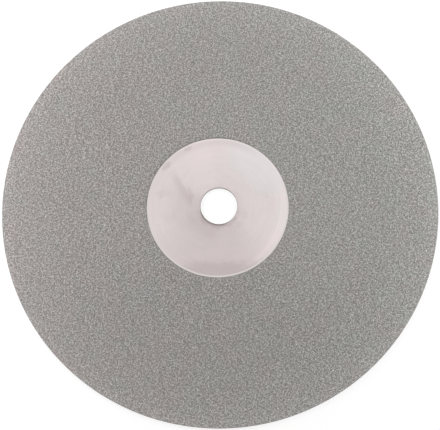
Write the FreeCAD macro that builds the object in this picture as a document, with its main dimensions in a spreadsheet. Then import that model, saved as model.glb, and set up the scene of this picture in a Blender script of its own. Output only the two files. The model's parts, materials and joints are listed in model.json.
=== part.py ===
import FreeCAD, Part
import math
import os

import Sketcher

# A diamond lapping disc: a flat steel plate with a bore, plated with nickel,
# and a ring of diamond grit bonded to its front face. A round mask kept the
# grit off the centre, where the disc is clamped.
# The disc lies on its back face with the grit up. The origin is the centre of
# the bore on the back face, and +Z runs along the bore to the grit side.
# All sizes are in millimetres.

SIZES = [
    ("disc_diameter", 150.0, "steel plate across its rim"),
    ("plate_thickness", 1.0, "steel plate between its faces"),
    ("bore_diameter", 12.7, "bore, for a half-inch arbor"),
    ("bore_break", 0.15, "chamfer at both ends of the bore"),
    ("back_break", 0.15, "chamfer round the rim of the back face"),
    ("rim_break", 0.2, "chamfer round the rim of the front face, under the grit"),
    ("coat_thickness", 0.25, "nickel bond and diamond grit, over the tips"),
    ("coat_rim_radius", 0.2, "rounding of the coat where it turns over the rim"),
    ("bare_diameter", 48.8, "bare centre, across the edge of the mask"),
    ("mask_offset_x", -0.5, "mask centre from the bore, along X"),
    ("mask_offset_y", -0.3, "mask centre from the bore, along Y"),
    ("bead_width", 0.6, "bead of bare nickel that grew against the mask's edge"),
    ("bead_height", 0.05, "that bead, over the plate's front face"),
    ("toe_height", 0.06, "upright edge that the mask left on the coat"),
    ("shoulder_width", 0.35, "slope from the toe up to the full coat"),
    ("shoulder_radius", 0.6, "rounding where the slope meets the full coat"),
]

MATCH = 1e-5

doc = FreeCAD.newDocument("lapping_disc")
sheet = doc.addObject("Spreadsheet::Sheet", "sizes")
for row, (alias, value, note) in enumerate(SIZES, 1):
    sheet.set(f"A{row}", note)
    sheet.set(f"B{row}", str(value))
    sheet.setAlias(f"B{row}", alias)
doc.recompute()


def new_body(label):
    """An empty body whose label is the name of the piece."""
    body = doc.addObject("PartDesign::Body", label)
    body.Label = label
    return body


def new_sketch(body, name, role):
    """A sketch on one of the body's own origin planes."""
    planes = [item for item in body.Origin.OriginFeatures if item.Role == role]
    sketch = body.newObject("Sketcher::SketchObject", name)
    sketch.AttachmentSupport = (planes[0], [""])
    sketch.MapMode = "FlatFace"
    return sketch


def draw_circle(sketch, diameter):
    """A circle round the sketch's origin, with its diameter bound to the sheet."""
    centre = FreeCAD.Vector(0, 0, 0)
    start_radius = 10.0
    circle = sketch.addGeometry(Part.Circle(centre, FreeCAD.Vector(0, 0, 1), start_radius), False)
    sketch.addConstraint(Sketcher.Constraint("Coincident", circle, 3, -1, 1))
    bound = sketch.addConstraint(Sketcher.Constraint("Diameter", circle, 2 * start_radius))
    sketch.setExpression(f"Constraints[{bound}]", diameter)


def draw_section(sketch, corners):
    """A closed outline of straight lines, each corner bound to the sheet.

    A corner is a pair of expressions: the distance from the axis, and the
    height. None stands for a corner on the axis, or level with the origin.
    """
    places = [
        FreeCAD.Vector(*(0.0 if text is None else float(sheet.evalExpression(text)) for text in corner), 0)
        for corner in corners
    ]
    lines = [
        sketch.addGeometry(Part.LineSegment(place, places[(index + 1) % len(places)]), False)
        for index, place in enumerate(places)
    ]
    for index, (line, corner) in enumerate(zip(lines, corners)):
        sketch.addConstraint(Sketcher.Constraint("Coincident", lines[index - 1], 2, line, 1))
        for kind, axis, text, value in (
            ("DistanceX", -2, corner[0], places[index].x),
            ("DistanceY", -1, corner[1], places[index].y),
        ):
            if text is None:
                sketch.addConstraint(Sketcher.Constraint("PointOnObject", line, 1, axis))
            else:
                bound = sketch.addConstraint(Sketcher.Constraint(kind, -1, 1, line, 1, value))
                sketch.setExpression(f"Constraints[{bound}]", text)


def draw_bead(sketch, outer, width, height):
    """A low arc on its chord, which lies level with the sketch's origin.

    outer, width and height are expressions: the chord's far end from the axis,
    its length, and how high the arc stands over it.
    """
    far, chord, rise = (float(sheet.evalExpression(text)) for text in (outer, width, height))
    radius = chord ** 2 / (8 * rise) + rise / 2
    half_turn = math.asin(chord / (2 * radius))
    centre = FreeCAD.Vector(far - chord / 2, rise - radius, 0)
    crown = Part.Circle(centre, FreeCAD.Vector(0, 0, 1), radius)
    ends = math.pi / 2 - half_turn, math.pi / 2 + half_turn
    arc = sketch.addGeometry(Part.ArcOfCircle(crown, *ends), False)
    near_end, far_end = FreeCAD.Vector(far - chord, 0, 0), FreeCAD.Vector(far, 0, 0)
    line = sketch.addGeometry(Part.LineSegment(near_end, far_end), False)
    sketch.addConstraint([
        Sketcher.Constraint("Coincident", arc, 1, line, 2),
        Sketcher.Constraint("Coincident", arc, 2, line, 1),
        Sketcher.Constraint("PointOnObject", line, 1, -1),
        Sketcher.Constraint("PointOnObject", line, 2, -1),
    ])
    for constraint, text in (
        (Sketcher.Constraint("DistanceX", -1, 1, line, 2, far), outer),
        (Sketcher.Constraint("DistanceX", line, 1, line, 2, chord), width),
        (Sketcher.Constraint("Radius", arc, radius), f"({width}) ^ 2 / (8 * {height}) + {height} / 2"),
    ):
        bound = sketch.addConstraint(constraint)
        sketch.setExpression(f"Constraints[{bound}]", text)


def centre_on_mask(sketch):
    """Shift a sketch on the XZ plane so that its upright axis is the mask's.

    The mask was laid on by hand, so its centre lies a little beside the bore.
    """
    sketch.setExpression(".AttachmentOffset.Base.x", "sizes.mask_offset_x")
    sketch.setExpression(".AttachmentOffset.Base.z", "-sizes.mask_offset_y")


def round_edges(feature, radius, height):
    """Names of a feature's circular edges of one radius at one height."""
    found = []
    for index, edge in enumerate(feature.Shape.Edges, 1):
        curve = edge.Curve
        if not isinstance(curve, Part.Circle):
            continue
        if abs(curve.Radius - radius) < MATCH and abs(curve.Center.z - height) < MATCH:
            found.append(f"Edge{index}")
    if not found:
        raise RuntimeError(f"no round edge of radius {radius} at height {height}")
    return found


def dress_edges(body, kind, name, edges, prop, text):
    """A Fillet or Chamfer over edges of the body's last feature."""
    base = body.Tip
    dressing = body.newObject(f"PartDesign::{kind}", name)
    dressing.Base = (base, edges)
    dressing.setExpression(prop, text)
    doc.recompute()
    return dressing


def check_cut(before, after):
    """Stop if a cut took nothing away."""
    if after.Shape.Volume > before.Shape.Volume - MATCH:
        raise RuntimeError(f"{after.Name} cuts nothing")


def make_steel_plate():
    """The blanked plate: a pad, its punched bore, its broken edges and the bead.

    The nickel grew into a low bead along the mask's edge. It parts the bare
    centre of the front face from the stretch that carries the grit.
    """
    body = new_body("steel_plate")
    outline = new_sketch(body, "plate_outline", "XY_Plane")
    draw_circle(outline, "sizes.disc_diameter")
    blank = body.newObject("PartDesign::Pad", "plate_blank")
    blank.Profile = outline
    blank.setExpression("Length", "sizes.plate_thickness")
    doc.recompute()

    bore_outline = new_sketch(body, "bore_outline", "XY_Plane")
    draw_circle(bore_outline, "sizes.bore_diameter")
    bore = body.newObject("PartDesign::Pocket", "bore_punch")
    bore.Profile = bore_outline
    bore.Type = "ThroughAll"
    bore.Reversed = True
    doc.recompute()
    check_cut(blank, bore)

    rim = sheet.disc_diameter / 2
    hole = sheet.bore_diameter / 2
    front = sheet.plate_thickness
    bore_ends = round_edges(body.Tip, hole, 0) + round_edges(body.Tip, hole, front)
    dress_edges(body, "Chamfer", "bore_chamfer", bore_ends, "Size", "sizes.bore_break")
    back_rim = round_edges(body.Tip, rim, 0)
    dress_edges(body, "Chamfer", "back_chamfer", back_rim, "Size", "sizes.back_break")
    front_rim = round_edges(body.Tip, rim, front)
    dress_edges(body, "Chamfer", "front_chamfer", front_rim, "Size", "sizes.rim_break")

    bead_section = new_sketch(body, "bead_section", "XZ_Plane")
    centre_on_mask(bead_section)
    bead_section.setExpression(".AttachmentOffset.Base.y", "sizes.plate_thickness")
    draw_bead(bead_section, "sizes.bare_diameter / 2", "sizes.bead_width", "sizes.bead_height")
    bead = body.newObject("PartDesign::Revolution", "nickel_bead")
    bead.Profile = bead_section
    bead.ReferenceAxis = (bead_section, ["V_Axis"])
    doc.recompute()
    return body


def make_diamond_coating():
    """The grit ring, drawn from the plate's front face upwards.

    It covers the broken edge of the plate and ends flush with the rim. Inside,
    it starts at the mask's edge with a low upright toe, and a slope rises from
    there to the full coat.
    """
    body = new_body("diamond_coating")
    body.setExpression(".Placement.Base.z", "sizes.plate_thickness")
    coat_section = new_sketch(body, "coat_section", "XZ_Plane")
    rim = "sizes.disc_diameter / 2"
    draw_section(coat_section, [
        (None, None),
        (f"{rim} - sizes.rim_break", None),
        (rim, "-sizes.rim_break"),
        (rim, "sizes.coat_thickness"),
        (None, "sizes.coat_thickness"),
    ])
    coat = body.newObject("PartDesign::Revolution", "coat")
    coat.Profile = coat_section
    coat.ReferenceAxis = (coat_section, ["V_Axis"])
    doc.recompute()

    mask_section = new_sketch(body, "mask_section", "XZ_Plane")
    centre_on_mask(mask_section)
    mask = "sizes.bare_diameter / 2"
    draw_section(mask_section, [
        (None, None),
        (mask, None),
        (mask, "sizes.toe_height"),
        (f"{mask} + sizes.shoulder_width", "sizes.coat_thickness"),
        (None, "sizes.coat_thickness"),
    ])
    bare_centre = body.newObject("PartDesign::Groove", "bare_centre")
    bare_centre.Profile = mask_section
    bare_centre.ReferenceAxis = (mask_section, ["V_Axis"])
    doc.recompute()
    check_cut(coat, bare_centre)

    full_coat = sheet.coat_thickness
    shoulder = round_edges(body.Tip, sheet.bare_diameter / 2 + sheet.shoulder_width, full_coat)
    dress_edges(body, "Fillet", "shoulder_round", shoulder, "Radius", "sizes.shoulder_radius")
    over_rim = round_edges(body.Tip, sheet.disc_diameter / 2, full_coat)
    dress_edges(body, "Fillet", "rim_round", over_rim, "Radius", "sizes.coat_rim_radius")
    return body


def check_document(bodies):
    """Stop if any object failed, or a piece isn't one sound solid."""
    for item in doc.Objects:
        if "Invalid" in item.State or "Error" in item.State:
            raise RuntimeError(f"{item.Label} failed: {item.State}")
    for body in bodies:
        shape = body.Shape
        if shape.isNull() or not shape.isValid() or len(shape.Solids) != 1:
            raise RuntimeError(f"{body.Label} is not one valid solid")


def export_bodies(bodies):
    """Write each piece to its own STEP file, named by its label."""
    os.makedirs("parts", exist_ok=True)
    for body in bodies:
        body.Shape.exportStep(f"parts/{body.Label}.step")
        box = body.Shape.optimalBoundingBox()
        size = f"{box.XLength:.3f} x {box.YLength:.3f} x {box.ZLength:.3f} mm"
        print(body.Label, size, f"{body.Shape.Volume:.1f} mm3")


pieces = [make_steel_plate(), make_diamond_coating()]
doc.recompute()
check_document(pieces)
export_bodies(pieces)
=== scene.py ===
"""The looks of a diamond lapping disc that lies on its back face, grit side up.

The steel plate is the frame's own piece with a nickel-plated finish. The coat
is made of a bond layer and of single diamond grains that stand in it.
"""

import json
import math
import random

import bmesh
import bpy
from mathutils import Euler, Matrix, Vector, noise


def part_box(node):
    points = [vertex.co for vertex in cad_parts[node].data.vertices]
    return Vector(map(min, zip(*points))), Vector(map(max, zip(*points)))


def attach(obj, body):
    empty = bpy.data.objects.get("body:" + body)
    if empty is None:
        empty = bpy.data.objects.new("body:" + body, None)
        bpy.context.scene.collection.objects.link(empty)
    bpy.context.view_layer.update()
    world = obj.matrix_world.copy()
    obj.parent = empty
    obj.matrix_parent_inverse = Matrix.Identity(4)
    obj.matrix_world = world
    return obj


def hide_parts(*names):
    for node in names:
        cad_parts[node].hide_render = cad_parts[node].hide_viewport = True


bl_info = {
    "name": "Diamond Lapping Disc",
    "version": (1, 0, 0),
    "blender": (4, 5, 0),
    "location": "3D View > Sidebar > Lapping Disc",
    "description": "Plated plate, bond layer, diamond grains and studio for a lapping disc",
    "category": "Object",
}

# The frame, in metres: what every piece takes its place from
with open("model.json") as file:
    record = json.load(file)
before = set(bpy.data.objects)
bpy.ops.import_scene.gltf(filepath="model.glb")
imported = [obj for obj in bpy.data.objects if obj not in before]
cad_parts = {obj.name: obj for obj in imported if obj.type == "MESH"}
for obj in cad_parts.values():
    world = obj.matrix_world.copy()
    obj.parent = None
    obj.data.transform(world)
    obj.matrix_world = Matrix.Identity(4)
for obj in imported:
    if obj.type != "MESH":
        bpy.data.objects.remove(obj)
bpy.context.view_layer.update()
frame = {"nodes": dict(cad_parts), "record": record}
MM = 0.001
BODY = "root"


def mount(name):
    """One of the frame's mounts, by its name."""
    return next(item for item in frame["record"]["mounts"] if item["name"] == name)


def mask_circle(within):
    """The centre and the radius of the bare middle, read from the coat's inner edge."""
    inside = [
        vertex.co for vertex in frame["nodes"]["diamond_coating"].data.vertices
        if vertex.co.xy.length < within
    ]
    left, right = min(co.x for co in inside), max(co.x for co in inside)
    near, far = min(co.y for co in inside), max(co.y for co in inside)
    centre = Vector(((left + right) / 2, (near + far) / 2, 0))
    return centre, min((co - centre).xy.length for co in inside)


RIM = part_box("steel_plate")[1].x
FRONT = mount("clamping_face")["pos_m"][2]
BORE = mount("bore")["dims"]["r_mm"] * MM
COAT_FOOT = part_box("diamond_coating")[0].z
COAT_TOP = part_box("diamond_coating")[1].z
MASK_CENTRE, MASK = mask_circle(RIM / 2)
# Radii in millimetres, as the materials measure them
HOLE_EDGE = BORE / MM
MASK_EDGE = MASK / MM
RIM_EDGE = RIM / MM


class LAP_PG_plate(bpy.types.PropertyGroup):
    """The plate's nickel finish with its painted sheen and shade, and the burr at its bore."""

    colour: bpy.props.FloatVectorProperty(
        name="Nickel", description="Plating where the light is even",
        subtype="COLOR", size=3, min=0, max=1, default=(0.688, 0.618, 0.613))
    # Painted highlight: the plating's tint in the pale sector of the painted sheen
    painted_highlight_colour: bpy.props.FloatVectorProperty(
        name="Cool sector", description="Plating in the less pink sector of the sheen",
        subtype="COLOR", size=3, min=0, max=1, default=(0.668, 0.630, 0.632))
    # Painted shade: the plating's colour where the painted sheen is at its dullest
    painted_shade_colour: bpy.props.FloatVectorProperty(
        name="Dull sector", description="Plating where the sheen is at its dullest",
        subtype="COLOR", size=3, min=0, max=1, default=(0.496, 0.427, 0.429))
    bead_colour: bpy.props.FloatVectorProperty(
        name="Bead", description="The bright bead of nickel along the mask's edge",
        subtype="COLOR", size=3, min=0, max=1, default=(0.690, 0.648, 0.639))
    # Partly painted shade: the bore's wall and edges are dark as shade, and the burr's torn steel takes
    # this colour too
    torn_edge_and_shade_colour: bpy.props.FloatVectorProperty(
        name="Punched edge", description="The thinly plated wall and edges of the bore",
        subtype="COLOR", size=3, min=0, max=1, default=(0.20, 0.18, 0.17))
    roughness: bpy.props.FloatProperty(
        name="Roughness", description="Roughness of the plating",
        min=0, max=1, default=0.34)
    turning: bpy.props.FloatProperty(
        name="Turning", description="How far the turned finish stretches a highlight",
        min=0, max=1, default=0.45)
    bead_width: bpy.props.FloatProperty(
        name="Bead width", description="Width of the bead along the mask's edge",
        unit="LENGTH", default=0.6 * MM)
    bead_height: bpy.props.FloatProperty(
        name="Bead height", description="Mean height of the bead over the plate's front",
        unit="LENGTH", default=0.06 * MM)
    burr_place: bpy.props.FloatProperty(
        name="Burr place", description="Where the burr lies round the bore",
        subtype="ANGLE", default=math.radians(248))
    burr_span: bpy.props.FloatProperty(
        name="Burr span", description="How far the burr reaches round the bore",
        subtype="ANGLE", default=math.radians(20))
    burr_size: bpy.props.FloatProperty(
        name="Burr size", description="How far the burr stands out at its thickest",
        unit="LENGTH", default=0.14 * MM)


class LAP_PG_grit(bpy.types.PropertyGroup):
    """The bond layer and the grains."""

    bond_depth: bpy.props.FloatProperty(
        name="Bond", description="Depth of the nickel bond on the plate",
        unit="LENGTH", default=0.12 * MM)
    pale_bond: bpy.props.FloatVectorProperty(
        name="Pale bond", description="The bond's palest tone",
        subtype="COLOR", size=3, min=0, max=1, default=(0.410, 0.395, 0.378))
    deep_bond: bpy.props.FloatVectorProperty(
        name="Deep bond", description="The bond's deepest tone",
        subtype="COLOR", size=3, min=0, max=1, default=(0.200, 0.190, 0.180))
    spacing: bpy.props.FloatProperty(
        name="Spacing", description="Mean distance between grains",
        unit="LENGTH", default=0.47 * MM)
    smallest: bpy.props.FloatProperty(
        name="Smallest grain", description="Width of the smallest grains",
        unit="LENGTH", default=0.26 * MM)
    largest: bpy.props.FloatProperty(
        name="Largest grain", description="Width of the largest grains",
        unit="LENGTH", default=0.42 * MM)
    tilt: bpy.props.FloatProperty(
        name="Tilt", description="Usual tilt of a grain",
        subtype="ANGLE", default=math.radians(13))
    wander: bpy.props.FloatProperty(
        name="Wander", description="How far a grain lies off its even place, as a share of the spacing",
        min=0, max=0.5, default=0.26)
    edge_gap: bpy.props.FloatProperty(
        name="Edge gap", description="From the edges of the coat to the nearest grains",
        unit="LENGTH", default=0.2 * MM)
    seed: bpy.props.IntProperty(
        name="Seed", description="Start of the random draws", default=7)


class LAP_PG_stage(bpy.types.PropertyGroup):
    """The camera and the studio."""

    distance: bpy.props.FloatProperty(
        name="Distance", description="From the camera to the point that it looks at",
        unit="LENGTH", default=357.1 * MM)
    elevation: bpy.props.FloatProperty(
        name="Elevation", description="The camera's height over the horizon",
        subtype="ANGLE", default=math.radians(78.31))
    roll: bpy.props.FloatProperty(
        name="Roll", description="Turn of the camera about its line of sight",
        subtype="ANGLE", default=math.radians(-8.14))
    aim: bpy.props.FloatVectorProperty(
        name="Aim", description="The point that the camera looks at",
        subtype="TRANSLATION", size=3, default=(-0.07 * MM, -3.21 * MM, 1.0 * MM))
    focal_length: bpy.props.FloatProperty(
        name="Focal length", description="The lens, in millimetres", default=85.13)
    left_power: bpy.props.FloatProperty(
        name="Left softbox", description="Power of the softbox to the left, in watts",
        default=0.542)
    right_power: bpy.props.FloatProperty(
        name="Right softbox", description="Power of the softbox to the right, in watts",
        default=0.406)
    back_power: bpy.props.FloatProperty(
        name="Back softbox", description="Power of the softbox behind the disc, in watts",
        default=0.1)
    ambient: bpy.props.FloatProperty(
        name="Ambient", description="Level of the even light from the room", default=0.3)


class Term:
    """A node's output in an expression: sums, products and comparisons add Math nodes."""

    def __init__(self, nodes, socket):
        self.nodes = nodes
        self.socket = socket

    def __add__(self, other):
        return self.nodes.math("ADD", self, other)

    __radd__ = __add__

    def __sub__(self, other):
        return self.nodes.math("SUBTRACT", self, other)

    def __rsub__(self, other):
        return self.nodes.math("SUBTRACT", other, self)

    def __mul__(self, other):
        return self.nodes.math("MULTIPLY", self, other)

    __rmul__ = __mul__

    def __truediv__(self, other):
        return self.nodes.math("DIVIDE", self, other)

    def __neg__(self):
        return self.nodes.math("MULTIPLY", self, -1)

    def __gt__(self, other):
        return self.nodes.math("GREATER_THAN", self, other)


class Nodes:
    """The nodes of a material or of the world."""

    def __init__(self, owner):
        self.owner = owner
        owner.use_nodes = True
        self.tree = owner.node_tree
        self.tree.nodes.clear()

    def node(self, kind, settings=None, sockets=None, out=0):
        """Add a node: its settings first, then the values or links of its sockets."""
        made = self.tree.nodes.new(kind)
        for name, value in (settings or {}).items():
            setattr(made, name, value)
        for name, value in (sockets or {}).items():
            if isinstance(value, Term):
                self.tree.links.new(value.socket, made.inputs[name])
            else:
                made.inputs[name].default_value = value
        return Term(self, made.outputs[out]) if made.outputs else None

    def math(self, operation, *values):
        return self.node("ShaderNodeMath", {"operation": operation}, dict(enumerate(values)))

    def clamp(self, value):
        return self.node("ShaderNodeClamp", {}, {"Value": value})

    def smooth(self, value, low, high):
        """0 below low, 1 above high, and a smooth step between them."""
        return self.node(
            "ShaderNodeMapRange", {"interpolation_type": "SMOOTHSTEP"},
            {"Value": value, "From Min": low, "From Max": high})

    def noise(self, vector, scale, detail=2.0, roughness=0.5):
        """Noise about 0.5."""
        return self.node(
            "ShaderNodeTexNoise", {"noise_dimensions": "3D"},
            {"Vector": vector, "Scale": scale, "Detail": detail, "Roughness": roughness})

    def mix(self, first, second, factor, blend="MIX"):
        """Mix two colours."""
        first, second = (
            value if isinstance(value, Term) else (*value, 1.0) for value in (first, second))
        return self.node(
            "ShaderNodeMix", {"data_type": "RGBA", "blend_type": blend},
            {0: factor, 6: first, 7: second}, out=2)

    def grey(self, value):
        """A grey colour from a number."""
        return self.node(
            "ShaderNodeCombineColor", {}, {"Red": value, "Green": value, "Blue": value})

    def vector(self, x, y, z):
        return self.node("ShaderNodeCombineXYZ", {}, {"X": x, "Y": y, "Z": z})

    def parts(self, vector):
        """The three numbers of a vector."""
        first = self.node("ShaderNodeSeparateXYZ", {}, {"Vector": vector})
        return [Term(self, socket) for socket in first.socket.node.outputs]

    def place(self, turn=0.0):
        """The object's own coordinates in millimetres, turned about its axis."""
        coordinates = Term(self, self.node("ShaderNodeTexCoord").socket.node.outputs["Object"])
        return self.node(
            "ShaderNodeMapping", {"vector_type": "POINT"},
            {"Vector": coordinates, "Rotation": (0, 0, turn), "Scale": (1 / MM,) * 3})

    def stir(self, place, scale, reach):
        """Places moved to and fro by noise, so that what is drawn on them has loose edges."""
        drift = self.node(
            "ShaderNodeTexNoise", {}, {"Vector": place, "Scale": scale, "Detail": 3.0}, out=1)
        drift = self.node(
            "ShaderNodeVectorMath", {"operation": "SUBTRACT"}, {0: drift, 1: (0.5, 0.5, 0.5)})
        return self.node(
            "ShaderNodeVectorMath", {"operation": "MULTIPLY_ADD"},
            {0: drift, 1: (reach, reach, 0), 2: place})

    def spot(self, place, x, y, length, width, degrees):
        """Places measured from a spot on the plate, as shares of its half length and width."""
        return self.node(
            "ShaderNodeMapping", {"vector_type": "TEXTURE"},
            {"Vector": place, "Location": (x, y, 0), "Rotation": (0, 0, math.radians(degrees)),
             "Scale": (length, width, 1e6)})

    def bump(self, height, distance):
        """A normal from a height field that is as deep as the distance."""
        return self.node("ShaderNodeBump", {}, {"Height": height, "Distance": distance})

    def surface(self, sockets):
        """End a material in a Principled shader, and return the material."""
        shader = self.node("ShaderNodeBsdfPrincipled", {}, sockets)
        self.node("ShaderNodeOutputMaterial", {}, {"Surface": shader})
        return self.owner


class Polar:
    """Places round an axis on the plate, in millimetres."""

    def __init__(self, nodes, x, y):
        self.nodes = nodes
        self.x = x
        self.y = y
        self.r = nodes.math("SQRT", x * x + y * y) + 0.001

    def sector(self, degrees, edge, core):
        """1 round one direction and 0 away from it.

        edge and core are the angles from that direction at which the sector has
        faded out and at which it is full.
        """
        way = math.radians(degrees)
        towards = (self.x * math.cos(way) + self.y * math.sin(way)) / self.r
        return self.nodes.smooth(
            towards, math.cos(math.radians(edge)), math.cos(math.radians(core)))

    def ring(self, inner, outer, soft):
        """1 between two radii, with soft edges."""
        rise = self.nodes.smooth(self.r, inner - soft, inner + soft)
        return rise * (1 - self.nodes.smooth(self.r, outer - soft, outer + soft))


def new_nodes(name):
    return Nodes(bpy.data.materials.new(name))


# Faint stains on the bare nickel, in millimetres from the bore's centre as the photograph
# shows them: x, y, half length, half width, turn in degrees, and how dull they are
STAINS = (
    (-18.3, 14.1, 2.4, 1.5, 50, 0.42),
    (-10.6, 20.2, 2.0, 1.3, 30, 0.40),
    (-19.8, 4.3, 4.5, 1.6, 0, 0.18),
    (-17.0, -3.9, 3.6, 3.2, 0, 0.13),
    (-9.8, 4.4, 3.4, 1.5, -62, 0.27),
    (-15.6, 8.6, 1.8, 2.8, 0, 0.09),
    (8.7, -3.0, 1.8, 2.6, -15, 0.18),
    (17.5, 1.0, 3.2, 8.0, 8, 0.08),
    (16.2, 3.6, 2.0, 1.1, 40, 0.09),
    (5.9, -4.7, 1.7, 1.0, 50, 0.32),
    (7.4, -6.3, 2.2, 1.3, 40, 0.20),
)
# The sharp edge of a dull sector of the painted sheen, left of the bore: one end of it, and its way in
# degrees
STREAK_END = (-14.9, 12.4)
STREAK_WAY = -60.6


def painted_sheen_and_stains(shader, place, mask):
    """How far the painted sheen of the turned face darkens it, with the stains: 0 where the light is
    even, 1 at its dullest.
    """
    loose = shader.stir(shader.stir(place, 0.45, 3.0), 1.6, 1.4)
    x, y, _ = shader.parts(loose)
    bore = Polar(shader, x, y)
    # Painted shade of the sheen in broad dull sectors: in front, low down, behind at the mask's edge,
    # and left of the bore
    front = bore.sector(262, 68, 21) * 0.40
    low = shader.smooth(-y, 17.4, 21.6) * bore.sector(277, 44, 24) * 0.5
    back = shader.smooth(mask.r, MASK_EDGE - 3.4, MASK_EDGE - 1.6) * bore.sector(98, 50, 30) * 0.26
    left = bore.sector(184, 42, 12) * (1 - shader.smooth(bore.r, 12.5, 19.0)) * 0.28
    # Painted shade: a patch to the front left, and a dull ring close round the bore
    shade = bore.sector(230, 50, 20) * (1 - shader.smooth(bore.r, 10.0, 13.5)) * 0.18
    close = bore.sector(250, 64, 28) * 0.58 + bore.sector(328, 34, 14) * 0.3 + 0.14
    close = close * (1 - shader.smooth(bore.r, 6.8, 8.6))
    # The sharp edge of a dull sector of the painted sheen
    along, across, _ = shader.parts(shader.spot(
        shader.stir(place, 0.8, 1.2), *STREAK_END, 1, 1, STREAK_WAY))
    streak = shader.smooth(-across, 0, 0.45) * (1 - shader.smooth(-across, 0.8, 3.6))
    streak = streak * shader.smooth(along, -3, 4) * (1 - shader.smooth(along, 11, 15)) * 0.34
    dull = front + low + back + left + shade + close + streak
    specks = shader.smooth(shader.noise(place, 1.3, 4.0, 0.6), 0.36, 0.62) * 0.9 + 0.55
    for *where, depth in STAINS:
        far = shader.node(
            "ShaderNodeVectorMath", {"operation": "LENGTH"}, {0: shader.spot(loose, *where)}, out=1)
        dull = dull + (1 - shader.smooth(far, 0.3, 1.0)) * specks * depth
    return shader.clamp(dull)


def painted_front_highlight(shader, bore):
    """Painted highlight of the sheen: how much lighter the bare front is outwards, to the back right
    and on the bore's lip.
    """
    light = bore.sector(50, 100, 20) * shader.smooth(bore.r, 0, 22) * 0.06
    light = light + bore.sector(50, 30, 10) * shader.smooth(bore.r, 12, 20) * 0.03
    light = light + bore.sector(120, 30, 10) * 0.035 + (bore.r - 12.5) * 0.0028
    # A pale arc behind the bore is a painted highlight on the bore's lip
    lip = bore.ring(HOLE_EDGE + 0.7, HOLE_EDGE + 1.1, 0.2) * bore.sector(98, 60, 35)
    return light + lip * 0.04


def crescent_light(shader, mask):
    """How much lighter the crescent inside the mask's edge is, with its fine arcs."""
    way, width = math.radians(-28), 3.2
    inside = Polar(shader, mask.x + math.cos(way) * width, mask.y + math.sin(way) * width)
    band = shader.smooth(inside.r, MASK_EDGE - 0.25, MASK_EDGE + 0.15) * mask.sector(-40, 40, 18)
    arcs = shader.noise(shader.vector(inside.r * 2.4, 0, 0), 1.0, 1.0)
    glow = shader.smooth(inside.r, MASK_EDGE - 2.0, MASK_EDGE + 1.6) * mask.sector(-14, 58, 24)
    return band * (0.03 + (arcs - 0.5) * 0.36) + glow * 0.05


def add_bead(shader, plate, mask, front, colour):
    """A colour with the bright bead of nickel on it, with a painted highlight where it gleams at the
    back.
    """
    bead = mask.ring(MASK_EDGE - 0.6, MASK_EDGE + 1.0, 0.08)
    bead = bead * (mask.sector(250, 150, 70) * 0.4 + 0.5)
    # Painted highlight on the bead, behind the mask
    painted_gleam = mask.sector(75, 60, 30) * 0.2
    bright = shader.mix(plate.bead_colour, shader.grey(1 + painted_gleam), 1.0, "MULTIPLY")
    return shader.mix(colour, bright, bead * front)


def add_bore_edge_and_shade(shader, plate, bore, colour):
    """A colour with the bore's wall darkened as painted shade, and its broken edge, dark partly as
    painted shade.

    The edge is widest at the front left, and darkest there and behind the bore.
    """
    # Painted shade at the bore's edge, widest and darkest at the front left and behind
    wide = bore.sector(247, 64, 30) * 0.42 + 0.14
    depth = bore.sector(245, 60, 28) * 0.4 + bore.sector(95, 60, 25) * 0.4 + 0.35
    edge = 1 - shader.smooth(bore.r - HOLE_EDGE, wide * 0.7, wide * 1.3)
    wall = 1 - shader.smooth(bore.r - HOLE_EDGE, 0.01, 0.05)
    return shader.mix(colour, plate.torn_edge_and_shade_colour, shader.math("MAXIMUM", edge * depth, wall))


def nickel_with_painted_sheen(plate, turn):
    """Satin nickel plating with a painted sheen of a turned face, painted shade round the bore, and a
    few stains.
    """
    shader = new_nodes("nickel_plating")
    place = shader.place(turn)
    x, y, z = shader.parts(place)
    centre = Vector(MASK_CENTRE)
    centre.rotate(Euler((0, 0, turn)))
    bore = Polar(shader, x, y)
    mask = Polar(shader, x - centre.x / MM, y - centre.y / MM)
    front = z > FRONT / MM - 0.02

    # Turning marks lie round the bore, a little broken along their length
    coarse = shader.noise(
        shader.vector(bore.r * 0.9, x / bore.r * 2, y / bore.r * 2), 1.0, 4.0, 0.6)
    fine = shader.noise(
        shader.vector(bore.r * 10, x / bore.r * 5, y / bore.r * 5), 1.0, 3.0, 0.6)
    cloud = shader.noise(place, 0.16, 3.0)
    pits = shader.smooth(shader.noise(place, 1.6, 2.0), 0.67, 0.74)

    # Painted highlight: a cool pale sector to the back right of the bore
    painted_highlight_share = bore.sector(46, 42, 20) * shader.smooth(bore.r, 10.0, 17.0)
    painted_highlight_share = painted_highlight_share + bore.sector(-8, 16, 6) * shader.smooth(bore.r, 18.5, 20.5) * 0.5
    colour = shader.mix(plate.colour, plate.painted_highlight_colour, shader.clamp(painted_highlight_share) * front)
    # Painted shade of the sheen, and the stains
    colour = shader.mix(colour, plate.painted_shade_colour, painted_sheen_and_stains(shader, place, mask) * front)
    # Painted highlight of the sheen, and the crescent's lighter band
    tone = 1 + (painted_front_highlight(shader, bore) + crescent_light(shader, mask)) * front
    tone = tone + (coarse - 0.5) * 0.12 + (fine - 0.5) * 0.1
    tone = tone + (cloud - 0.5) * 0.05 - pits * 0.07
    tone = tone - handling_marks(shader, place, coarse) * (1 - front)
    colour = shader.mix(colour, shader.grey(tone), 1.0, "MULTIPLY")
    colour = add_bead(shader, plate, mask, front, colour)
    colour = add_bore_edge_and_shade(shader, plate, bore, colour)

    height = coarse * 0.3 + fine * 0.4 + shader.noise(place, 7.0, 2.0) * 0.3
    return shader.surface({
        "Base Color": colour,
        "Metallic": 1.0,
        "Roughness": plate.roughness + (cloud - 0.5) * 0.1,
        "Anisotropic": plate.turning,
        "Normal": shader.bump(height, 0.004 * MM),
    })


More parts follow.
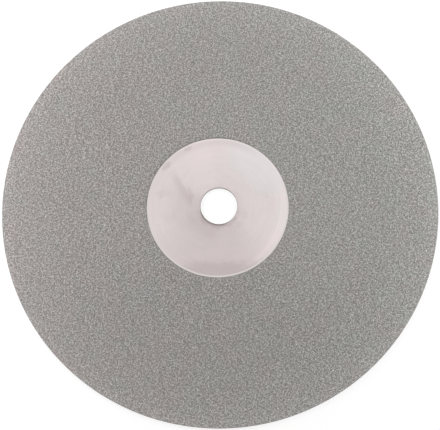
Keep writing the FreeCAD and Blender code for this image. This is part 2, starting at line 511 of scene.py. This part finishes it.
def handling_marks(shader, place, turned):
    """How much darker the back is where handling has dulled, ringed and scratched it."""
    dulled = shader.smooth(shader.noise(shader.stir(place, 0.2, 8.0), 0.045, 3.0), 0.42, 0.68)
    scuffs = 0
    for degrees, seed in ((25, 3.0), (-50, 11.0), (80, 23.0)):
        x, y, _ = shader.parts(shader.spot(place, 0, 0, 1, 1, degrees))
        line = shader.noise(shader.vector(x * 0.05, y * 2.2, seed), 1.0, 1.0)
        scuffs = shader.smooth(line, 0.66, 0.72) * 0.08 + scuffs
    return dulled * 0.05 + (turned - 0.5) * 0.3 + scuffs


def burr_finish(plate):
    """Torn steel, rough, and dark partly as painted shade at the bore's edge."""
    shader = new_nodes("torn_steel")
    grain = shader.noise(shader.place(), 6.0, 3.0)
    dark = tuple(part * 0.35 for part in plate.torn_edge_and_shade_colour)
    return shader.surface({
        "Base Color": shader.mix(dark, plate.torn_edge_and_shade_colour, grain),
        "Metallic": 1.0,
        "Roughness": 0.5 + (grain - 0.5) * 0.3,
        "Normal": shader.bump(grain, 0.02 * MM),
    })


def coat_tone_and_shade(shader, tone):
    """The coat's drift of tone: paler outwards, deeper in front as painted shade, pinker to the left.
    """
    place = shader.place()
    x, y, _ = shader.parts(place)
    disc = Polar(shader, x, y)
    share = disc.r / RIM_EDGE
    lift_and_front_shade = 1 + shader.smooth(share, 0.7, 1.0) * 0.086 + shader.smooth(share, 0.92, 1.0) * 0.072
    # Painted shade: the coat is deeper in front
    lift_and_front_shade = lift_and_front_shade - disc.sector(262, 75, 15) * 0.045
    across = shader.smooth(x / RIM_EDGE, -1, 1)
    side = shader.mix((1.01, 0.985, 1.0), (0.988, 1.007, 1.008), across)
    mottle = shader.smooth(shader.noise(place, 0.13, 2.0), 0.3, 0.7)
    blotch = shader.mix((0.986, 1.01, 1.0), (1.022, 0.992, 0.99), mottle)
    for layer in (side, blotch, shader.grey(lift_and_front_shade)):
        tone = shader.mix(tone, layer, 1.0, "MULTIPLY")
    return tone


def bond_finish(grit):
    """The grey nickel that holds the grains, wavy where it climbs up to them."""
    shader = new_nodes("nickel_bond")
    place = shader.place()
    swell = shader.noise(place, 2.4, 2.0)
    fine = shader.noise(place, 9.0, 2.0)
    colour = shader.mix(grit.deep_bond, grit.pale_bond, shader.smooth(swell, 0.25, 0.75))
    # Painted shade: the coat's first millimetre is darker behind the mask and to its left, where its
    # step faces away from the light
    x, y, _ = shader.parts(place)
    mask = Polar(shader, x - MASK_CENTRE.x / MM, y - MASK_CENTRE.y / MM)
    toe = (1 - shader.smooth(mask.r - MASK_EDGE, 0.4, 1.8)) * mask.sector(115, 75, 25)
    colour = shader.mix(colour, shader.grey(1 - toe * 0.16), 1.0, "MULTIPLY")
    return shader.surface({
        "Base Color": coat_tone_and_shade(shader, colour),
        "Metallic": 0.7,
        "Roughness": 0.46,
        "Normal": shader.bump(swell * 0.7 + fine * 0.3, 0.08 * MM),
    })


def grain_finish(name, pale, deep):
    """Diamond grain: glassy and grey, between a pale and a deep tone."""
    shader = new_nodes(name)
    place = shader.place()
    grains = shader.noise(place, 1.7, 1.0)
    colour = shader.mix(deep, pale, shader.smooth(grains, 0.3, 0.7))
    return shader.surface({
        "Base Color": coat_tone_and_shade(shader, colour),
        "Roughness": 0.3,
        "IOR": 1.8,
        "Normal": shader.bump(shader.noise(place, 14.0, 2.0), 0.015 * MM),
    })


def keep_piece(bm, name, finish, smooth):
    """Turn a bmesh into a piece that rides on the disc."""
    mesh = bpy.data.meshes.new(name)
    bm.to_mesh(mesh)
    bm.free()
    mesh.polygons.foreach_set("use_smooth", [smooth] * len(mesh.polygons))
    mesh.materials.append(finish)
    piece = bpy.data.objects.new(name, mesh)
    bpy.context.scene.collection.objects.link(piece)
    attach(piece, BODY)
    return piece


# The coat's section: a toe at the mask, a shoulder, and a rolled edge at the rim
TOE = 0.05 * MM
SHOULDER = 0.35 * MM
ROLL = 0.2 * MM


def rim_drop(radius):
    """How far the coat has turned down at a radius near the rim."""
    over = min(1.0, max(0.0, (radius - (RIM - ROLL)) / ROLL))
    return ROLL * (1 - math.sqrt(1 - over * over))


def shift_to_mask(co):
    """The offset that brings the coat's inner edge round the mask's own centre."""
    fade = 6 * MM
    return MASK_CENTRE * max(0.0, 1 - (co.xy.length - MASK) / fade)


class LAP_OT_plate(bpy.types.Operator):
    """Give the steel plate its nickel finish, with a painted sheen"""

    bl_idname = "lap.plate"
    bl_label = "Plate"

    def execute(self, context):
        scene = context.scene
        plate = frame["nodes"]["steel_plate"]
        plate.data.materials.clear()
        plate.data.materials.append(nickel_with_painted_sheen(scene.lap_plate, -scene.lap_stage.roll))
        return {"FINISHED"}


class LAP_OT_bead(bpy.types.Operator):
    """Build up the bead of nickel along the mask's edge, with its small nodules"""

    bl_idname = "lap.bead"
    bl_label = "Bead"

    def execute(self, context):
        plate = context.scene.lap_plate
        turns, points = 960, 9
        half = plate.bead_width / 2
        sunk = 0.01 * MM
        # The bead's outer foot lies under the coat's toe
        under_coat = 0.06 * MM
        middle = MASK - half + under_coat
        section = [(middle - half, FRONT - sunk)]
        for step in range(points):
            across = math.pi * step / (points - 1)
            section.append((
                middle - half * math.cos(across),
                FRONT + plate.bead_height * math.sin(across) + sunk * 0.2))
        section.append((middle + half, FRONT - sunk))
        bm = bmesh.new()
        corners = [bm.verts.new((radius, 0, height)) for radius, height in section]
        for pair in zip(corners, corners[1:] + corners[:1]):
            bm.edges.new(pair)
        bmesh.ops.spin(
            bm, geom=bm.verts[:] + bm.edges[:], cent=(0, 0, 0), axis=(0, 0, 1),
            angle=2 * math.pi, steps=turns, use_merge=True)
        bmesh.ops.recalc_face_normals(bm, faces=bm.faces[:])
        nodule, wander = 0.7 * MM, 3.0 * MM
        for vertex in bm.verts:
            raised = max(0.0, vertex.co.z - FRONT)
            lumps = noise.noise(vertex.co / nodule) * 0.45 + noise.noise(vertex.co / wander) * 0.35
            vertex.co.z += raised * lumps
            vertex.co += MASK_CENTRE
        finish = bpy.data.materials["nickel_plating"]
        keep_piece(bm, "nickel_bead", finish, True)
        return {"FINISHED"}


class LAP_OT_burr(bpy.types.Operator):
    """Raise the torn burr at the front edge of the bore"""

    bl_idname = "lap.burr"
    bl_label = "Burr"

    def execute(self, context):
        plate = context.scene.lap_plate
        start = plate.burr_place - plate.burr_span / 2
        size = plate.burr_size
        edge = BORE + 0.08 * MM
        section = [
            (edge - 0.4 * size, FRONT - 0.8 * size), (edge + size, FRONT - 0.1 * size),
            (edge, FRONT + 0.5 * size),
        ]
        way = Vector((math.cos(start), math.sin(start), 0))
        bm = bmesh.new()
        corners = [bm.verts.new(way * radius + Vector((0, 0, height))) for radius, height in section]
        for pair in zip(corners, corners[1:] + corners[:1]):
            bm.edges.new(pair)
        bmesh.ops.spin(
            bm, geom=bm.verts[:] + bm.edges[:], cent=(0, 0, 0), axis=(0, 0, 1),
            angle=plate.burr_span, steps=18)
        for vertex in bm.verts:
            angle = math.atan2(vertex.co.y, vertex.co.x) % math.tau
            share = min(1.0, max(0.0, (angle - start) / plate.burr_span))
            foot = Vector((math.cos(angle), math.sin(angle), 0)) * edge
            foot.z = FRONT - 0.3 * size
            swell = math.sin(math.pi * share) * (0.8 + 0.5 * noise.noise(vertex.co / (0.3 * MM)))
            vertex.co = foot.lerp(vertex.co, max(0.0, swell))
        bmesh.ops.remove_doubles(bm, verts=bm.verts[:], dist=MM / 1e4)
        bmesh.ops.recalc_face_normals(bm, faces=bm.faces[:])
        keep_piece(bm, "bore_burr", burr_finish(plate), True)
        return {"FINISHED"}


class LAP_OT_bond(bpy.types.Operator):
    """Lay the nickel bond on the plate"""

    bl_idname = "lap.bond"
    bl_label = "Bond layer"

    def execute(self, context):
        turns, rings = 480, 44
        grit = context.scene.lap_grit
        top = FRONT + grit.bond_depth
        section = [
            (MASK, FRONT), (MASK, FRONT + TOE), (MASK + SHOULDER, top), (RIM - ROLL, top),
        ]
        for degrees in (30, 60, 90):
            radius = RIM - ROLL + ROLL * math.sin(math.radians(degrees))
            section.append((radius, top - rim_drop(radius)))
        section += [(RIM, COAT_FOOT), (RIM - ROLL, FRONT)]
        bm = bmesh.new()
        corners = [bm.verts.new((radius, 0, height)) for radius, height in section]
        edges = [bm.edges.new(pair) for pair in zip(corners, corners[1:] + corners[:1])]
        bmesh.ops.subdivide_edges(bm, edges=[edges[2], edges[-1]], cuts=rings)
        bmesh.ops.spin(
            bm, geom=bm.verts[:] + bm.edges[:], cent=(0, 0, 0), axis=(0, 0, 1),
            angle=2 * math.pi, steps=turns, use_merge=True)
        bmesh.ops.recalc_face_normals(bm, faces=bm.faces[:])
        wave, wavelength = 0.02 * MM, 2.5 * MM
        for vertex in bm.verts:
            vertex.co += shift_to_mask(vertex.co)
            if vertex.co.z > top - wave and vertex.co.xy.length < RIM - 1.5 * ROLL:
                vertex.co.z += wave * noise.noise(vertex.co / wavelength)
        bond = keep_piece(bm, "bond_layer", bond_finish(grit), True)
        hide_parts("diamond_coating")
        return {"FINISHED"}


# The grit's tones, each as a pale and a deep colour, and the shapes of its crystals
TONES = {
    "clear": ((0.590, 0.577, 0.563), (0.453, 0.443, 0.432)),
    "grey": ((0.459, 0.444, 0.427), (0.346, 0.336, 0.323)),
    "dark": ((0.267, 0.256, 0.241), (0.155, 0.147, 0.137)),
}
HABITS = ("points", "blocks")
POURS = [(tone, habit) for habit in HABITS for tone in TONES]
# A hand is this many cells of the grid, and holds one grain of each pour
HAND_COLUMNS, HAND_ROWS = len(TONES), len(HABITS)

# How far grains differ: in length to width, at their corners, and in how deep they sit
STRETCH = (0.8, 1.25)
CORNERS = (0.62, 1.34)
SEAT = (0.9, 1.05)
# A point's height and its foot's depth, as shares of its girdle's size
POINT_HEIGHT = 0.62
FOOT_DEPTH = 0.4
# A block's slope, and how far its flat top lies over the girdle
BLOCK_SLOPE = 0.06 * MM
BLOCK_HEIGHT = 0.1 * MM


def lay_girdles(bm, grit, pour):
    """Lay a small quad where each grain of one pour lies.

    An even grid over the disc is dealt out to the pours and taken apart into
    its cells. Each cell becomes the girdle of a grain. Every hand of cells holds
    one grain of each pour, in its own order, so the grit is even.
    """
    cells = math.ceil(2 * RIM / grit.spacing)
    bmesh.ops.create_grid(bm, x_segments=cells, y_segments=cells, size=RIM)
    dealer = random.Random(grit.seed)
    hands = {}
    spare = []
    for face in bm.faces:
        centre = face.calc_center_median()
        column = int((centre.x + RIM) / (2 * RIM) * cells)
        row = int((centre.y + RIM) / (2 * RIM) * cells)
        hand = (column // HAND_COLUMNS, row // HAND_ROWS)
        if hand not in hands:
            hands[hand] = dealer.sample(range(len(POURS)), len(POURS))
        dealt = hands[hand][column % HAND_COLUMNS + row % HAND_ROWS * HAND_COLUMNS]
        inside = (centre - MASK_CENTRE).xy.length < MASK + 2 * grit.edge_gap
        outside = centre.xy.length > RIM - 1.5 * grit.edge_gap
        if dealt != pour or inside or outside:
            spare.append(face)
    bmesh.ops.delete(bm, geom=spare, context="FACES")
    bmesh.ops.split_edges(bm, edges=bm.edges[:])


def scatter_girdles(bm, grit, draws):
    """Shrink, stretch, turn, tilt and move each girdle at random."""
    for face in bm.faces:
        centre = face.calc_center_median()
        width = draws.uniform(grit.smallest, grit.largest) / grit.spacing
        stretch = draws.uniform(*STRETCH)
        turn = Euler((draws.gauss(0, grit.tilt), draws.gauss(0, grit.tilt), draws.uniform(0, math.tau)))
        home = centre.copy()
        home.x += draws.uniform(-1, 1) * grit.wander * grit.spacing
        home.y += draws.uniform(-1, 1) * grit.wander * grit.spacing
        home.z = FRONT + grit.bond_depth * draws.uniform(*SEAT) - rim_drop(home.xy.length)
        for vertex in face.verts:
            corner = (vertex.co - centre) * width * draws.uniform(*CORNERS)
            corner.x *= stretch
            corner.y /= stretch
            corner.rotate(turn)
            vertex.co = home + corner
    bm.normal_update()


def grow_crystals(bm, habit):
    """Raise a crystal on each girdle: a point or a flat-topped block above, a point below."""
    copied = bmesh.ops.duplicate(bm, geom=bm.faces[:])
    below = [item for item in copied["geom"] if isinstance(item, bmesh.types.BMFace)]
    above = list(set(bm.faces) - set(below))
    bmesh.ops.reverse_faces(bm, faces=below)
    bm.normal_update()
    if habit == "points":
        bmesh.ops.poke(bm, faces=above, offset=POINT_HEIGHT, use_relative_offset=True)
    else:
        bmesh.ops.inset_individual(bm, faces=above, thickness=BLOCK_SLOPE, depth=BLOCK_HEIGHT)
    bmesh.ops.poke(bm, faces=below, offset=FOOT_DEPTH, use_relative_offset=True)
    bmesh.ops.remove_doubles(bm, verts=bm.verts[:], dist=MM / 1e5)
    for vertex in bm.verts:
        vertex.co.z = min(vertex.co.z, COAT_TOP)


class LAP_OT_grit(bpy.types.Operator):
    """Pour the diamond grains into the bond"""

    bl_idname = "lap.grit"
    bl_label = "Diamond grit"

    def execute(self, context):
        grit = context.scene.lap_grit
        for pour, (tone, habit) in enumerate(POURS):
            bm = bmesh.new()
            lay_girdles(bm, grit, pour)
            scatter_girdles(bm, grit, random.Random(grit.seed + pour + 1))
            grow_crystals(bm, habit)
            name = f"{tone}_{habit}"
            keep_piece(bm, name, grain_finish(name, *TONES[tone]), False)
        return {"FINISHED"}


# The softboxes, in metres: where each hangs, and how wide and how high it is
SOFTBOXES = {
    "left": ((-0.18, 0.08, 0.10), 0.26, 0.20),
    "right": ((0.18, 0.05, 0.10), 0.26, 0.20),
    "back": ((-0.10, 0.26, 0.16), 0.42, 0.34),
}
# The share of a softbox's light that shows in the nickel
MIRRORED = 0.1
# Half the floor's width, and how far it lies under the disc
FLOOR_REACH = 1.5
FLOOR_DROP = 0.02 * MM


def lit_directly(nodes):
    """1 for rays that show the studio itself: to the camera, or by a mirror or through glass."""
    path = nodes.node("ShaderNodeLightPath").socket.node.outputs
    camera, glossy, clear = (
        Term(nodes, path[name])
        for name in ("Is Camera Ray", "Is Glossy Ray", "Is Transmission Ray"))
    return nodes.clamp(camera + glossy + clear)


def floor_finish():
    """A pale floor that shows white but for the disc's shadow, and is clear from below."""
    nodes = new_nodes("pale_floor")
    shown = lit_directly(nodes)
    x, y, _ = nodes.parts(nodes.place())
    away = nodes.smooth(Polar(nodes, x, y).r, 90, 190)
    colour = nodes.mix((0.8, 0.8, 0.8), (0.25, 0.25, 0.25), shown)
    matt = nodes.node("ShaderNodeBsdfDiffuse", {}, {"Color": colour})
    white = nodes.node("ShaderNodeEmission", {}, {"Strength": shown * (0.8 + away * 0.2)})
    above = nodes.node("ShaderNodeAddShader", {}, {0: matt, 1: white})
    clear = nodes.node("ShaderNodeBsdfTransparent")
    below = Term(nodes, nodes.node("ShaderNodeNewGeometry").socket.node.outputs["Backfacing"])
    surface = nodes.node("ShaderNodeMixShader", {}, {0: below, 1: above, 2: clear})
    nodes.node("ShaderNodeOutputMaterial", {}, {"Surface": surface})
    return nodes.owner


def light_room(scene, ambient):
    """A white room whose light on the disc is even and softer than its look."""
    scene.world = bpy.data.worlds.new("studio_room")
    # Sampled as a lamp, the room would lose the rays that tell it which look to show
    scene.world.cycles.sampling_method = "NONE"
    nodes = Nodes(scene.world)
    level = ambient + lit_directly(nodes) * (1 - ambient)
    room = nodes.node("ShaderNodeBackground", {}, {"Color": (1, 1, 1, 1), "Strength": level})
    nodes.node("ShaderNodeOutputWorld", {}, {"Surface": room})


def hang_softbox(scene, name, place, wide, high, power):
    """A lamp that faces the disc, in two layers.

    Its mirror image comes on top of the white room's, so only the weaker layer
    shows in the nickel, which would clip to white otherwise.
    """
    for layer, share, mirrored in (("fill", 1 - MIRRORED, False), ("sheen", MIRRORED, True)):
        lamp = bpy.data.lights.new(f"{name}_{layer}", "AREA")
        lamp.shape = "RECTANGLE"
        lamp.size = wide
        lamp.size_y = high
        lamp.energy = power * share
        softbox = bpy.data.objects.new(f"{name}_{layer}", lamp)
        softbox.location = place
        softbox.visible_camera = False
        softbox.visible_glossy = mirrored
        softbox.rotation_euler = Vector(place).to_track_quat("Z", "Y").to_euler()
        scene.collection.objects.link(softbox)


def set_camera(scene, stage):
    """The camera at the photograph's angle."""
    back = Vector((0, -math.cos(stage.elevation), math.sin(stage.elevation)))
    camera = bpy.data.cameras.new("camera")
    camera.lens = stage.focal_length
    camera.sensor_width = 36
    camera.clip_start = 0.01
    viewer = bpy.data.objects.new("camera", camera)
    viewer.location = Vector(stage.aim) + back * stage.distance
    level = (-back).to_track_quat("-Z", "Y").to_matrix()
    viewer.rotation_euler = (level @ Euler((0, 0, stage.roll)).to_matrix()).to_euler()
    scene.collection.objects.link(viewer)
    scene.camera = viewer


class LAP_OT_stage(bpy.types.Operator):
    """Set the floor, the softboxes and the camera"""

    bl_idname = "lap.stage"
    bl_label = "Studio"

    def execute(self, context):
        scene = context.scene
        stage = scene.lap_stage
        bm = bmesh.new()
        bmesh.ops.create_grid(bm, x_segments=1, y_segments=1, size=FLOOR_REACH)
        bmesh.ops.translate(bm, verts=bm.verts[:], vec=(0, 0, -FLOOR_DROP))
        mesh = bpy.data.meshes.new("floor")
        bm.to_mesh(mesh)
        bm.free()
        mesh.materials.append(floor_finish())
        floor = bpy.data.objects.new("floor", mesh)
        scene.collection.objects.link(floor)
        light_room(scene, stage.ambient)
        for name, (place, wide, high) in SOFTBOXES.items():
            power = getattr(stage, f"{name}_power")
            hang_softbox(scene, f"{name}_softbox", place, wide, high, power)
        set_camera(scene, stage)
        scene.view_settings.view_transform = "Standard"
        return {"FINISHED"}


class LAP_PT_sidebar(bpy.types.Panel):
    """The disc's settings and its steps, in the order in which they are run."""

    bl_idname = "LAP_PT_sidebar"
    bl_label = "Lapping Disc"
    bl_space_type = "VIEW_3D"
    bl_region_type = "UI"
    bl_category = "Lapping Disc"

    def draw(self, context):
        for group, steps in (
            ("lap_plate", ("lap.plate", "lap.bead", "lap.burr")),
            ("lap_grit", ("lap.bond", "lap.grit")),
            ("lap_stage", ("lap.stage",)),
        ):
            box = self.layout.box()
            settings = getattr(context.scene, group)
            for name in settings.bl_rna.properties.keys():
                if name not in ("rna_type", "name"):
                    box.prop(settings, name)
            for step in steps:
                box.operator(step)


GROUPS = {"lap_plate": LAP_PG_plate, "lap_grit": LAP_PG_grit, "lap_stage": LAP_PG_stage}
CLASSES = (
    *GROUPS.values(), LAP_OT_plate, LAP_OT_bead, LAP_OT_burr, LAP_OT_bond, LAP_OT_grit,
    LAP_OT_stage, LAP_PT_sidebar,
)


def register():
    for item in CLASSES:
        bpy.utils.register_class(item)
    for name, group in GROUPS.items():
        setattr(bpy.types.Scene, name, bpy.props.PointerProperty(type=group))


def unregister():
    for name in GROUPS:
        delattr(bpy.types.Scene, name)
    for item in reversed(CLASSES):
        bpy.utils.unregister_class(item)


def main():
    """Build the whole disc."""
    register()
    bpy.ops.lap.plate()
    bpy.ops.lap.bead()
    bpy.ops.lap.burr()
    bpy.ops.lap.bond()
    bpy.ops.lap.grit()
    bpy.ops.lap.stage()


if __name__ == "__main__":
    main()
